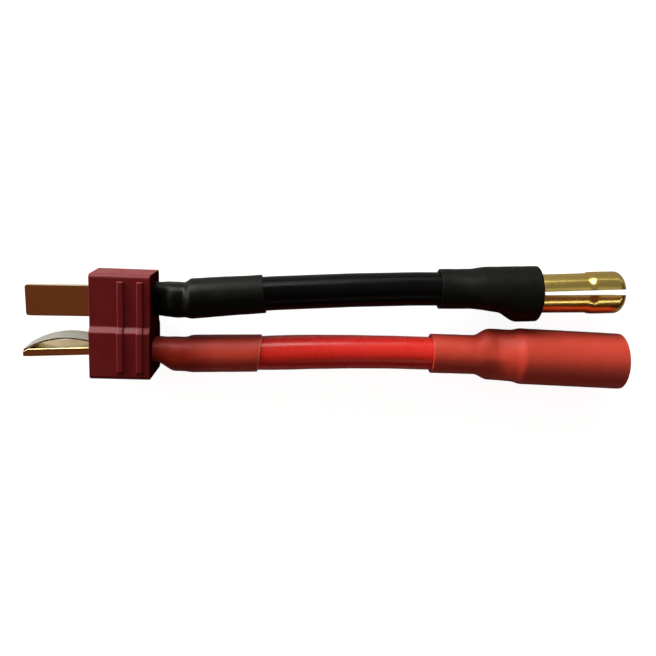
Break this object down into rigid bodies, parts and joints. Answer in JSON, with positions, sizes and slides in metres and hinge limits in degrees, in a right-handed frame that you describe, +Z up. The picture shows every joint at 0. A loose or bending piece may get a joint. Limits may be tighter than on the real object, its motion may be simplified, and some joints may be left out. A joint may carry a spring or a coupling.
{
  "type": "battery adapter cable",
  "caption": "Short battery adapter lead: a T plug with flat sprung blades at one end, a slotted bullet pin and a bullet socket under shrunk sleeves at the other.",
  "frame": {"origin": "centre of the plug's mating face, in the plane of the flat stem blade", "axes": "+X back along the cable from the plug to the bullets, +Y from the cross blade to the stem blade, +Z up from the surface that the cable lies on"},
  "size_m": [0.089, 0.0189, 0.0086],
  "materials": {
    "housing_nylon": "satin moulded nylon",
    "contact_gold": "polished gold plate",
    "spring_steel": "bright spring strip",
    "strand_copper": "fine copper strands",
    "black_silicone": "glossy silicone",
    "red_silicone": "glossy silicone",
    "solder": "dull solder",
    "black_sleeve": "satin shrunk polyolefin",
    "red_sleeve": "satin shrunk polyolefin"
  },
  "bodies": {
    "root": {"plug_housing": "housing_nylon", "stem_blade": "contact_gold", "cross_blade": "contact_gold", "stem_spring": "spring_steel", "cross_spring": "spring_steel", "black_conductor": "strand_copper", "red_conductor": "strand_copper", "black_insulation": "black_silicone", "red_insulation": "red_silicone", "black_plug_solder": "solder", "red_plug_solder": "solder", "black_plug_sleeve": "black_sleeve", "red_plug_sleeve": "red_sleeve", "bullet_pin": "contact_gold", "bullet_socket": "contact_gold", "pin_cup_solder": "solder", "socket_cup_solder": "solder", "black_bullet_sleeve": "black_sleeve", "red_bullet_sleeve": "red_sleeve"}
  },
  "joints": []
}
